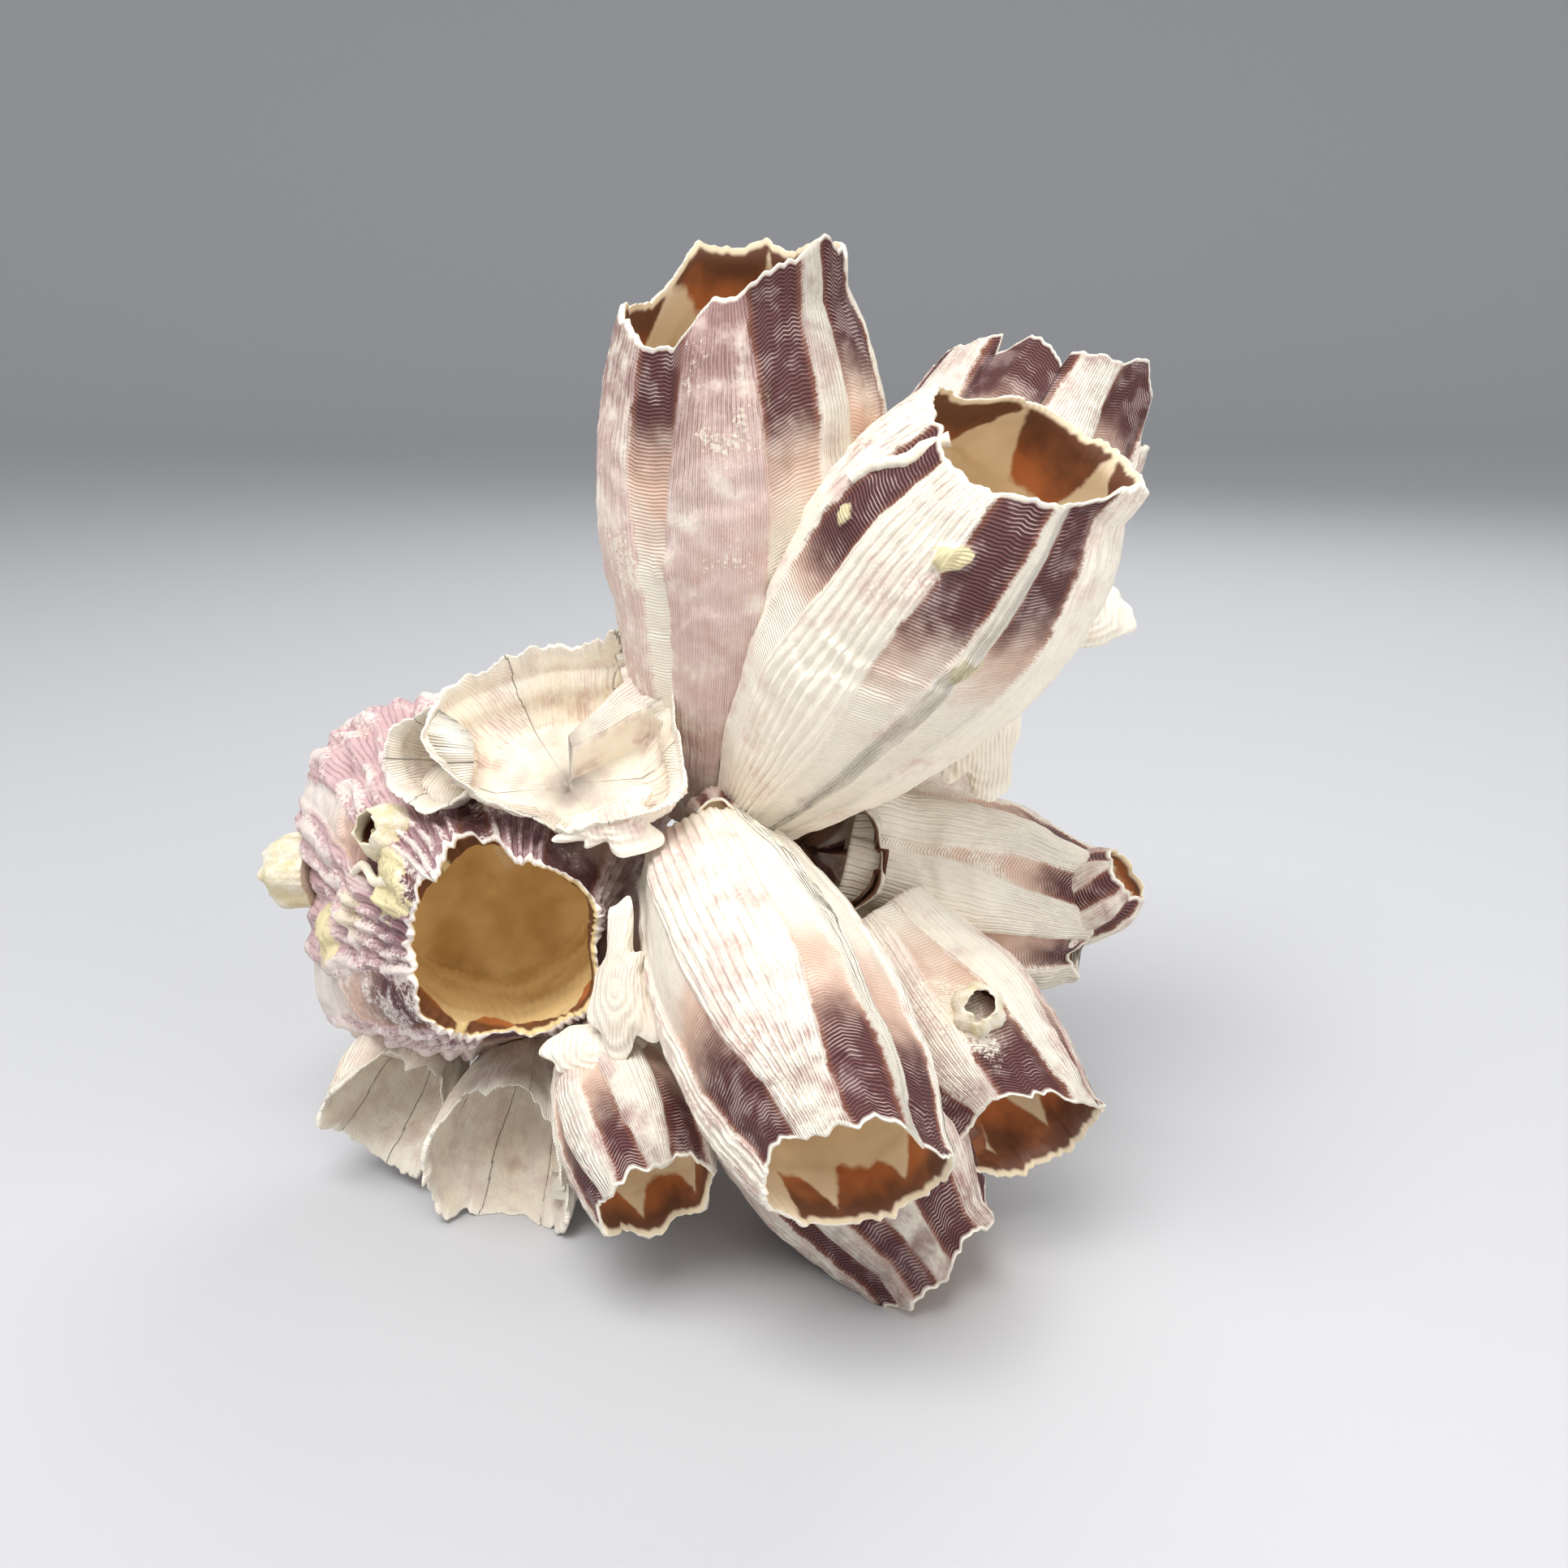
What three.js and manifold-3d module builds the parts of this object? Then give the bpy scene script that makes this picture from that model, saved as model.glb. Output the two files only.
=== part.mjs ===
// A cluster of acorn barnacles: cup-shaped shells, each grown on the walls of older ones.
// Millimetres, +Z up, -Y is the front. The origin lies under the middle of the cluster, on the
// surface that its lowest rims stand on.
import * as THREE from "three";
import { mergeVertices } from "three/addons/utils/BufferGeometryUtils.js";
import Module from "manifold-3d";

const wasm = await Module();
wasm.setup();

// Driving dimensions.
const cementGap = 0.3; // between a shell and the older shell that it grew on
const fullSides = 18; // facets round a full-grown shell: six plates of three
const youngSides = 12; // facets round a young shell
const rimThickness = 0.45; // share of the wall's thickness that is left at the rim
const plateSwell = 0.02; // share by which the middle of each of the six plates stands out
const outerShares = [0, 0.28, 0.55, 0.8, 1]; // heights of the rings outside, from base to rim
const innerShares = [1, 0.6]; // and inside, above the floor
const crumbWaves = [
  [2, 0.5],
  [5, 0.3],
  [9, 0.2],
]; // [waves round the rim, share of the crumbled depth]

// Where shells are banded purple, worn white, or small and crusty.
const finishes = {
  banded: { color: 0xcdb0a8, roughness: 0.55, metalness: 0 },
  chalky: { color: 0xe9e2d2, roughness: 0.75, metalness: 0 },
  crust: { color: 0xdcd3bc, roughness: 0.8, metalness: 0 },
};

// Each shell is a cup from its base to the middle of its mouth, [x, y, z]. radii are those of the
// base, the belly and the mouth, and bellyAt is how far up the belly is, as a share. wall is the
// thickness low down and floor the share of the height that the base plate takes. Angles go round
// the shell's axis in degrees, from the side that faces the front (or the top, on a shell that
// itself points to the front). peaks is the height of the six plate tips, and crumble how much of
// the rim has broken away unevenly.
const usual = {
  finish: "banded",
  bellyAt: 0.6,
  taper: 2, // 1 closes in from belly to mouth as a cone, 2 as a dome
  wall: 1.8,
  floor: 0.12,
  peaks: 1.6,
  crumble: 0,
  slope: { rise: 0, toward: 0 }, // the rim is higher by rise on this side
  bend: { by: 0, toward: 0 }, // the axis bows out by this much half-way up
  square: 0, // how far the plan tends to a square
  sides: fullSides,
};
const young = { wall: 1.2, floor: 0.2, peaks: 0.5, crumble: 0.3, sides: youngSides };

// From the oldest to the youngest, because each is moulded on those before it.
const shells = {
  left_barnacle: {
    base: [-32.5, 28, 38.5],
    mouth: [-22.8, -14, 41.2],
    radii: [26, 27, 11.6],
    bellyAt: 0.15,
    taper: 1.25,
    slope: { rise: 3, toward: 211 },
    wall: 2.4,
    floor: 0.08,
    peaks: 1.2,
    crumble: 1.2,
    square: 0.07,
  },
  back_upper_barnacle: {
    base: [2, 16, 54],
    mouth: [1, 41.4, 82.8],
    radii: [8, 14, 11],
    slope: { rise: 2, toward: 0 },
  },
  right_barnacle: {
    base: [17, 13, 44],
    mouth: [49.5, 14, 35.5],
    radii: [10, 12.5, 9],
    bellyAt: 0.55,
    peaks: 2,
    crumble: 1.5,
  },
  middle_barnacle: {
    base: [12, 24, 43],
    mouth: [14, 1, 48],
    radii: [8, 10.5, 9],
    crumble: 1,
  },
  top_barnacle: {
    base: [0.5, 8, 52],
    mouth: [5.1, -7.2, 117.6],
    radii: [5.5, 17, 11.8],
    bellyAt: 0.67,
    slope: { rise: 4.6, toward: 105 },
    bend: { by: 2, toward: 90 },
    peaks: 2.2,
  },
  upper_back_barnacle: {
    base: [17, 17, 56],
    mouth: [45.5, 33, 102.5],
    radii: [7, 17, 15.3],
    bellyAt: 0.7,
    slope: { rise: 4.5, toward: 32 },
    peaks: 3,
    crumble: 1.5,
  },
  upper_right_barnacle: {
    base: [5.5, -1, 54],
    mouth: [37.2, -20.6, 100],
    radii: [5, 16.8, 11.6],
    bellyAt: 0.72,
    slope: { rise: 4.5, toward: 95 },
    wall: 2,
  },
  back_resting_barnacle: {
    base: [4, 12, 25.5],
    mouth: [6, 43.7, 9.5],
    radii: [9, 15, 11],
    bellyAt: 0.65,
    wall: 2.6,
  },
  back_left_barnacle: {
    base: [-24, 24, 40],
    mouth: [-36, 43.9, 45],
    radii: [8, 11, 9],
    crumble: 1,
  },
  back_right_barnacle: {
    base: [17, 20, 44],
    mouth: [33, 42.7, 48],
    radii: [8, 12, 10],
    crumble: 1,
  },
  bottom_barnacle: {
    base: [4, 3, 31],
    mouth: [27.5, -18, 4],
    radii: [7, 15, 9.8],
    bellyAt: 0.5,
    slope: { rise: 5, toward: 0 },
    crumble: 1,
  },
  lower_right_barnacle: {
    base: [22, 2, 38],
    mouth: [40.8, -14, 17.6],
    radii: [8, 11.5, 9],
    crumble: 1.5,
    slope: { rise: 2.5, toward: 333 },
  },
  back_lower_barnacle: {
    base: [20, 18, 32],
    mouth: [40.5, 30, 21],
    radii: [5, 8.5, 7.5],
    sides: youngSides,
  },
  front_barnacle: {
    base: [0, -6, 50],
    mouth: [18.3, -43.3, 26.4],
    radii: [8.5, 13, 9.6],
    bellyAt: 0.5,
    slope: { rise: 2.8, toward: 261 },
  },
  lower_left_fan: {
    base: [-24, 6, 20],
    mouth: [-27, -10, 6.5],
    radii: [4, 10, 10],
    bellyAt: 0.8,
    finish: "chalky",
    crumble: 1.2,
  },
  lower_middle_barnacle: {
    base: [-13, 6, 20],
    mouth: [-15, -6, 4],
    radii: [4, 7, 6],
    finish: "chalky",
    sides: youngSides,
  },
  lower_left_cup: {
    base: [-38, 12, 20],
    mouth: [-44.5, 0, 9.5],
    radii: [5, 8.5, 8.3],
    finish: "chalky",
    crumble: 1,
    sides: youngSides,
  },
  small_hanging_barnacle: {
    base: [-13, -10, 27],
    mouth: [-4.5, -29, 16.5],
    radii: [5, 8.5, 7],
    bellyAt: 0.55,
  },
  broken_cup: {
    base: [-16, -5, 57.5],
    mouth: [-16.3, -10.2, 64.4],
    radii: [8, 16, 17.8],
    bellyAt: 0.7,
    finish: "chalky",
    peaks: 0.5,
    crumble: 0.8,
    slope: { rise: 4.2, toward: 150 },
  },
  upper_left_cup: {
    ...young,
    base: [-29, 2, 60],
    mouth: [-32.5, -7, 62.5],
    radii: [3.5, 5.5, 6.5],
    finish: "chalky",
  },
  left_edge_barnacle: {
    ...young,
    base: [-54, 17, 41],
    mouth: [-60.2, 18, 40.5],
    radii: [5, 5, 3.5],
    finish: "crust",
  },
  left_crust_barnacle: {
    ...young,
    base: [-35, -1, 50],
    mouth: [-40.5, -8, 54.5],
    radii: [3.5, 3.5, 2.2],
    finish: "crust",
  },
  right_rim_barnacle: {
    ...young,
    base: [47, 11, 36],
    mouth: [55, 8, 43],
    radii: [4.5, 5.5, 3.8],
  },
  scar_barnacle: {
    ...young,
    base: [33, -14, 32.7],
    mouth: [33.3, -18.2, 35.8],
    radii: [3.2, 3.2, 2],
    finish: "crust",
  },
  junction_barnacle: {
    ...young,
    base: [1, -1, 54],
    mouth: [2, -10, 56],
    radii: [3, 3.5, 2.6],
  },
  back_young_barnacle: {
    ...young,
    base: [-2, 35, 64],
    mouth: [-10, 43, 69],
    radii: [5, 5, 3.2],
    finish: "crust",
  },
};

// Single plates of broken shells: bowed ovals with radii [across, along], thinned to the edge.
// middle is the place, and turn gives the turns in degrees about X, Y and Z from lying flat.
const plateThickness = 1.8;
const plates = {
  side_plate: { middle: [48, 14, 76.5], across: 8.5, along: 4.6, turn: [85, 0, 15] },
  under_plate: { middle: [35, 7, 64], across: 5.5, along: 10.5, turn: [85, 0, 15] },
  front_flange: { middle: [-9, -20, 38.5], across: 4, along: 8, turn: [75, 0, -20] },
  hanging_flange: { middle: [-12.5, -19, 30], across: 7, along: 4, turn: [60, 0, 0] },
};

// The height of a shell's rim above its base, at an angle round its axis in radians.
function rimHeight(shell, length, angle) {
  const uphill = Math.cos(angle - THREE.MathUtils.degToRad(shell.slope.toward));
  const tip = Math.abs(Math.cos(3 * angle)) - 0.5;
  const crumbled = crumbWaves.reduce(
    (sum, [waves, share]) => sum + share * Math.cos(waves * angle + waves * waves),
    0,
  );
  return length + shell.slope.rise * uphill + shell.peaks * tip + shell.crumble * crumbled;
}

// The wall's outer radius at a share of the height: it swells from base to belly, then closes in.
function outerRadius(shell, share) {
  const [baseRadius, bellyRadius, mouthRadius] = shell.radii;
  const below = Math.min(share / shell.bellyAt, 1);
  const above = Math.max((share - shell.bellyAt) / (1 - shell.bellyAt), 0);
  const swell = (bellyRadius - baseRadius) * Math.sin((Math.PI / 2) * below);
  const closing = (mouthRadius - bellyRadius) * above ** shell.taper;
  return baseRadius + swell + closing;
}

// Brings a lathed shell, whose height runs from -past to 1 + past, to its real rim, bow and plan.
function shapeShell(geometry, shell, length, past = 0) {
  const bow = THREE.MathUtils.degToRad(shell.bend.toward);
  const position = geometry.getAttribute("position");
  for (let i = 0; i < position.count; i++) {
    const share = (position.getY(i) + past) / (1 + 2 * past);
    const angle = Math.atan2(position.getX(i), position.getZ(i));
    const height = position.getY(i) * rimHeight(shell, length, angle);
    const heightShare = THREE.MathUtils.clamp(height / length, 0, 1);
    const wallRadius = Math.hypot(position.getX(i), position.getZ(i));
    const moved = wallRadius > 0 ? outerRadius(shell, heightShare) - outerRadius(shell, share) : 0;
    const stretch = 1 + plateSwell * Math.cos(6 * angle) - shell.square * Math.cos(4 * angle);
    const radius = (wallRadius + moved) * stretch;
    const shift = 4 * share * (1 - share) * shell.bend.by;
    position.setXYZ(
      i,
      radius * Math.sin(angle) + shift * Math.sin(bow),
      height,
      radius * Math.cos(angle) + shift * Math.cos(bow),
    );
  }
}

// The turned outline of a shell: out along the base, up the wall, over the rim and down inside.
function shellOutline(shell) {
  const outer = outerShares.map((share) => new THREE.Vector2(outerRadius(shell, share), share));
  const inner = [...innerShares, shell.floor].map((share) => {
    const thickness = shell.wall * (1 - (1 - rimThickness) * share);
    return new THREE.Vector2(outerRadius(shell, share) - thickness, share);
  });
  return [
    new THREE.Vector2(0, 0),
    ...outer,
    ...inner,
    new THREE.Vector2(0, shell.floor),
  ];
}

// The same shell filled to its rim and swollen by the cement gap, to cut its younger neighbours.
function mouldOutline(shell, length) {
  const past = cementGap / length;
  const rings = outerShares.map(
    (share) =>
      new THREE.Vector2(outerRadius(shell, share) + cementGap, share * (1 + 2 * past) - past),
  );
  return [new THREE.Vector2(0, -past), ...rings, new THREE.Vector2(0, 1 + past)];
}

// Turns a mesh so that its +Y runs along the shell and its +Z faces the front, or the top.
function place(mesh, shell) {
  const base = new THREE.Vector3(...shell.base);
  const axis = new THREE.Vector3(...shell.mouth).sub(base).normalize();
  const facing = Math.abs(axis.y) > 0.75 ? new THREE.Vector3(0, 0, 1) : new THREE.Vector3(0, -1, 0);
  const front = facing.addScaledVector(axis, -facing.dot(axis)).normalize();
  const side = new THREE.Vector3().crossVectors(axis, front);
  mesh.quaternion.setFromRotationMatrix(new THREE.Matrix4().makeBasis(side, axis, front));
  mesh.position.copy(base);
  mesh.updateMatrix();
}

function solidOf(geometry, matrix) {
  const bare = geometry.clone().applyMatrix4(matrix);
  bare.deleteAttribute("normal");
  bare.deleteAttribute("uv");
  const merged = mergeVertices(bare, 1e-3);
  return new wasm.Manifold(
    new wasm.Mesh({
      numProp: 3,
      vertProperties: merged.getAttribute("position").array,
      triVerts: new Uint32Array(merged.index.array),
    }),
  );
}

function geometryOf(solid) {
  const { vertProperties, triVerts } = solid.getMesh();
  const geometry = new THREE.BufferGeometry();
  geometry.setAttribute("position", new THREE.BufferAttribute(vertProperties, 3));
  geometry.setIndex(new THREE.BufferAttribute(triVerts, 1));
  return geometry;
}

const largestOf = (solid) =>
  solid.decompose().reduce((most, body) => (body.volume() > most.volume() ? body : most));

// A bowed oval plate, lens-shaped in section, lying flat with its length along Y.
function plateGeometry({ across, along }) {
  const profile = [
    new THREE.Vector2(0, -plateThickness / 2),
    new THREE.Vector2(0.7, -plateThickness / 2),
    new THREE.Vector2(1, 0),
    new THREE.Vector2(0.7, plateThickness / 2),
    new THREE.Vector2(0, plateThickness / 2),
  ];
  const geometry = new THREE.LatheGeometry(profile, youngSides);
  geometry.rotateX(Math.PI / 2);
  return geometry.scale(across, along, 1);
}

// Keeps what a solid leaves free of older shells and of the ground, in the mesh's own frame.
function settle(mesh, older) {
  const free = older.reduce((left, mould) => left.subtract(mould), solidOf(mesh.geometry, mesh.matrix));
  mesh.geometry = geometryOf(largestOf(free)).applyMatrix4(mesh.matrix.clone().invert());
}

const cluster = new THREE.Group();
const ground = new THREE.BoxGeometry(200, 200, 20);
const moulds = [solidOf(ground, new THREE.Matrix4().makeTranslation(0, 0, -10))];

for (const [name, own] of Object.entries(shells)) {
  const shell = { ...usual, ...own };
  const length = new THREE.Vector3(...shell.base).distanceTo(new THREE.Vector3(...shell.mouth));
  const cup = new THREE.LatheGeometry(shellOutline(shell), shell.sides);
  const mould = new THREE.LatheGeometry(mouldOutline(shell, length), shell.sides);
  shapeShell(cup, shell, length);
  shapeShell(mould, shell, length, cementGap / length);
  const mesh = new THREE.Mesh(cup, new THREE.MeshStandardMaterial(finishes[shell.finish]));
  mesh.name = name;
  place(mesh, shell);
  settle(mesh, moulds);
  moulds.push(solidOf(mould, mesh.matrix));
  cluster.add(mesh);
}

for (const [name, plate] of Object.entries(plates)) {
  const mesh = new THREE.Mesh(
    plateGeometry(plate),
    new THREE.MeshStandardMaterial(finishes.chalky),
  );
  mesh.name = name;
  mesh.position.set(...plate.middle);
  mesh.rotation.set(...plate.turn.map((degrees) => THREE.MathUtils.degToRad(degrees)));
  mesh.updateMatrix();
  settle(mesh, moulds);
  moulds.push(solidOf(mesh.geometry, mesh.matrix));
  cluster.add(mesh);
}

export default cluster;
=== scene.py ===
import itertools
import math

import bpy
import numpy as np
from mathutils import Euler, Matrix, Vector


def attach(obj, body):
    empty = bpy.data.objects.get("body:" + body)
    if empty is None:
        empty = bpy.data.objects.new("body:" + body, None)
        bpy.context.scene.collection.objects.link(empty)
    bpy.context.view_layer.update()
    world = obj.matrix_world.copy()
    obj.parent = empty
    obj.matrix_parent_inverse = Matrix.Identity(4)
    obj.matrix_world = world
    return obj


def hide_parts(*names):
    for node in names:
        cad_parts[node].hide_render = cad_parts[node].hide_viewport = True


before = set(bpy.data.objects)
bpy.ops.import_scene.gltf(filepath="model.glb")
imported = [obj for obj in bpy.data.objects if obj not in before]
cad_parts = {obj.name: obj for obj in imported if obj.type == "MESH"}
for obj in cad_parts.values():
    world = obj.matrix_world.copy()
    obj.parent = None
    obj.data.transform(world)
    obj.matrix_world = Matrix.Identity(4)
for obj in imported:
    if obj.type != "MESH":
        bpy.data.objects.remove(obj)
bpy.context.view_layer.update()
mm = 0.001
full = 1.0  # share of the columns and rows that every shell gets
print("frame loaded:", len(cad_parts), "nodes")

# Random values between -1 and 1 on a cube of whole-number points, repeated every 32.
lattice = np.random.default_rng(23).random((32, 32, 32)) * 2 - 1


# Cloudy values between -1 and 1: the lattice values at the eight whole-number points round each
# point, blended with s-shaped weights. size is the width of one cloud in millimetres.
def clouds(points, size, shift=0.0):
    spot = np.asarray(points, float) / size + shift
    corner = np.floor(spot).astype(int)
    part = spot - corner
    part = part * part * (3 - 2 * part)
    total = np.zeros(spot.shape[:-1])
    for step in itertools.product((0, 1), repeat=3):
        at = (corner + step) & 31
        weight = np.prod(np.where(step, part, 1 - part), axis=-1)
        total += weight * lattice[at[..., 0], at[..., 1], at[..., 2]]
    return total


# 0 up to low, 1 from high on, and an s-shaped rise between; low may be the larger one.
def rise(value, low, high):
    part = np.clip((value - low) / (high - low), 0, 1)
    return part * part * (3 - 2 * part)


# A closed surface from a grid of points: each row is a closed ring, and the first and the last
# rings are closed by one point in their middles. fields are named values, one for each point.
def addSurface(name, grid, fields, polish=True):
    rows, columns = grid.shape[:2]
    ends = np.array([grid[0].mean(0), grid[-1].mean(0)])
    points = np.concatenate([grid.reshape(-1, 3), ends]) * mm
    at = np.arange(rows * columns).reshape(rows, columns)
    after = np.roll(at, -1, axis=1)
    quads = np.stack([at[:-1], after[:-1], after[1:], at[1:]], -1).reshape(-1, 4)
    low = np.stack([after[0], at[0], np.full(columns, rows * columns)], -1)
    high = np.stack([at[-1], after[-1], np.full(columns, rows * columns + 1)], -1)
    mesh = bpy.data.meshes.new(name)
    mesh.from_pydata(points, [], quads.tolist() + low.tolist() + high.tolist())
    for field, values in fields.items():
        ended = np.append(values.reshape(-1), [values[0].mean(), values[-1].mean()])
        layer = mesh.attributes.new(field, "FLOAT", "POINT")
        layer.data.foreach_set("value", ended.astype(np.float32))
    mesh.polygons.foreach_set("use_smooth", np.full(len(mesh.polygons), polish))
    mesh.update()
    piece = bpy.data.objects.new(name, mesh)
    bpy.context.scene.collection.objects.link(piece)
    return piece


# A cup's shape. base and mouth are the ends of its axis; radii are those of the base, the belly
# and the mouth. Angles go round the axis in degrees from the side that faces the front, or the
# top on a shell that itself points to the front or the back. Lengths are in millimetres.
usual = dict(
    bellyAt=0.6,  # height of the belly, as a share
    taper=2.0,  # 1 closes in from belly to mouth as a cone, 2 as a dome
    wall=1.8,  # thickness low down
    floor=0.12,  # share of the height under the cup's floor
    peaks=1.6,  # height of the plate tips above the dips between them
    crumble=0.0,  # depth by which the rim has broken away in waves
    slope=(0, 0),  # the rim is higher by this much, toward this angle
    bend=(0, 0),  # the axis bows out by this much, toward this angle
    square=0.0,  # how far the plan tends to a square
    rim=[(0, 0)],  # (angle, height) of further tips and notches of the rim
    outline=[(0, 1)],  # (angle, share of the radius) where the plan is drawn in or out
    chips=0.4,  # depth of the small chips along the rim
    lump=0.5,  # depth of the broad unevenness
    ribs=(9, 0.1),  # ribs on half a plate, and how high they stand
    relief=0.7,  # how far the plates stand out from the sunken bands between them
    rough=0.08,  # depth of the grain
    waviness=1.6,  # how far the ribs and the growth lines waver
    grooves=(44, 0.1),  # grooves round the inside, and how deep they are
    cavity=9.0,  # widest that the inside gets near the rim, as a share of the mouth's radius
    steps=[],  # growth steps: (mm below the rim, depth, angle, spread in degrees)
    bumps=[],  # crusts and pits: (angle, mm below the rim, radius, height, crust share)
    sheath=9.0,  # how far the inner collar reaches down from the rim
    columns=360,
    rows=110,
    # (angle, half width at the base and at the rim, pinkness, strength of its lines, how far the
    # dark of the band after it reaches down from the rim), one for each plate, by rising angle
    plates=[
        (5, 25, 11, 0.5, 0.6, 9),
        (62, 24, 12, 0.4, 0.5, 8),
        (125, 26, 12, 0.5, 0.6, 10),
        (180, 24, 11, 0.4, 0.5, 8),
        (242, 27, 12, 0.6, 0.6, 11),
        (300, 24, 10, 0.4, 0.5, 9),
    ],
    wear=0.62,  # the cloud level above which the colour has worn off; lower is more worn
    finish="banded",
    slot="banded_shell",
    seed=1,
)
youngLook = dict(usual, wall=1.2, floor=0.2, peaks=0.5, crumble=0.3, relief=0.35, lump=0.3,
                 ribs=(4, 0.12), sheath=3.0, columns=96, rows=28)
grown = {}  # every shell so far, oldest first


# The middle of the base, the length, and three directions: along, to the front and sideways.
def axesOf(look):
    base = np.array(look["base"], float)
    along = np.array(look["mouth"], float) - base
    length = np.linalg.norm(along)
    along /= length
    facing = np.array([0, 0, 1.0]) if abs(along[1]) > 0.75 else np.array([0, -1.0, 0])
    front = facing - along * (facing @ along)
    front /= np.linalg.norm(front)
    return base, length, along, front, np.cross(along, front)


# The rim's height at an angle: the length, a slope, a tip on each plate with a dip half-way to
# the next, three waves of crumbling, and the listed tips and notches joined by straight lines.
def rimHeight(look, length, angle):
    by, toward = look["slope"]
    height = length + by * np.cos(angle - math.radians(toward))
    tips = np.array([plate[0] for plate in look["plates"]], float)
    dips = tips + (np.roll(tips, -1) - tips) % 360 / 2
    levels = np.repeat([0.5, -0.5], len(tips))
    tipped = np.interp(np.degrees(angle), np.append(tips, dips), levels, period=360)
    height = height + look["peaks"] * tipped
    for waves, share in ((2, 0.5), (5, 0.3), (9, 0.2)):
        height = height + look["crumble"] * share * np.cos(waves * angle + waves**2)
    turns, heights = zip(*look["rim"])
    return height + np.interp(np.degrees(angle), turns, heights, period=360)


# The wall's outer radius at a share of the height: a quarter sine wave from base to belly, then
# a power curve to the mouth.
def wallRadius(look, share):
    baseRadius, bellyRadius, mouthRadius = look["radii"]
    below = np.minimum(share / look["bellyAt"], 1)
    above = np.maximum((share - look["bellyAt"]) / (1 - look["bellyAt"]), 0)
    swell = (bellyRadius - baseRadius) * np.sin(math.pi / 2 * below)
    return baseRadius + swell + (mouthRadius - bellyRadius) * above ** look["taper"]


# How far the plan leaves a circle: six plates, a tendency to a square, and the listed shares
# joined by straight lines.
def planStretch(look, angle):
    stretch = 1 + 0.02 * np.cos(6 * angle) - look["square"] * np.cos(4 * angle)
    turns, shares = zip(*look["outline"])
    return stretch * np.interp(np.degrees(angle), turns, shares, period=360)


# Points from radius, angle and height round a shell's axis, which bows out by a parabola.
def place(look, radius, angle, height, share):
    base, _, along, front, side = axesOf(look)
    by, toward = look["bend"]
    bow = 4 * share * (1 - share) * by
    across = radius * np.sin(angle) + bow * math.sin(math.radians(toward))
    forth = radius * np.cos(angle) + bow * math.cos(math.radians(toward))
    return (base + across[..., None] * side + forth[..., None] * front
            + height[..., None] * along)


# How deep points lie under an older shell's outer surface, and the way out from its axis.
def depthIn(look, points):
    base, length, along, front, side = axesOf(look)
    reach = points - base
    height = reach @ along
    share = np.clip(height / length, 0, 1)
    by, toward = look["bend"]
    bow = 4 * share * (1 - share) * by
    across = reach @ side - bow * math.sin(math.radians(toward))
    forth = reach @ front - bow * math.cos(math.radians(toward))
    angle = np.arctan2(across, forth)
    radius = np.hypot(across, forth) + 1e-9
    depth = wallRadius(look, share) * planStretch(look, angle) - radius
    ended = (height < 0) | (height > rimHeight(look, length, angle))
    out = (across[..., None] * side + forth[..., None] * front) / radius[..., None]
    return np.where(ended, -99.0, depth), out


# Which plate a point belongs to. across is -1 and 1 at the plate's two borders, and edge the
# distance in millimetres inside its border, less than 0 in the sunken bands between plates.
def plateField(look, angle, share, radius):
    plates = np.array(look["plates"], float)
    turned = np.degrees(angle)[..., None] - plates[:, 0]
    turned = (turned + 180) % 360 - 180
    widths = plates[:, 1] + (plates[:, 2] - plates[:, 1]) * share[..., None] ** 1.3
    wobble = 1 + 0.06 * np.sin(share[..., None] * 11 + plates[:, 0] + look["seed"])
    widths = widths * wobble
    nearest = np.abs(turned / widths).argmin(-1)
    pick = lambda values: np.take_along_axis(values, nearest[..., None], -1)[..., 0]
    turned, widths = pick(turned), pick(widths)
    edge = np.radians(widths - np.abs(turned)) * radius
    before = (nearest - 1) % len(plates)
    reach = np.where(turned > 0, plates[nearest, 5], plates[before, 5])
    return turned / widths, edge, plates[nearest, 3], plates[nearest, 4], reach


# The lowest share of the height at which each column stands clear of every older shell.
def startShares(look, angle):
    length = axesOf(look)[1]
    share, turned = np.meshgrid(np.linspace(0, 0.7, 71), angle, indexing="ij")
    height = share * rimHeight(look, length, turned)
    radius = wallRadius(look, share) * planStretch(look, turned)
    points = place(look, radius, turned, height, share)
    start = np.zeros(len(angle))
    for older in grown.values():
        inside = depthIn(older, points)[0] > older["wall"] * 0.6
        start = np.maximum(start, np.where(inside, share, 0).max(0))
    shifted = [np.roll(start, step) for step in range(-3, 4)]
    return np.mean(shifted, axis=0)


# Moves points that are deeper than allowed under older shells out to that depth.
def moveOut(points, depthAllowed, most=99.0):
    for older in grown.values():
        depth, out = depthIn(older, points)
        over = depth - depthAllowed(older)
        moved = np.where((over > 0) & (over < most), over, 0)
        points = points + out * moved[..., None]
    return points


# Moves points that lie less than gap under a shell's own outer surface back in to that depth.
def keepWithin(look, points, gap):
    depth, out = depthIn(look, points)
    over = np.where(depth > -50, gap - depth, 0)
    return points - out * np.maximum(over, 0)[..., None]


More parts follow.
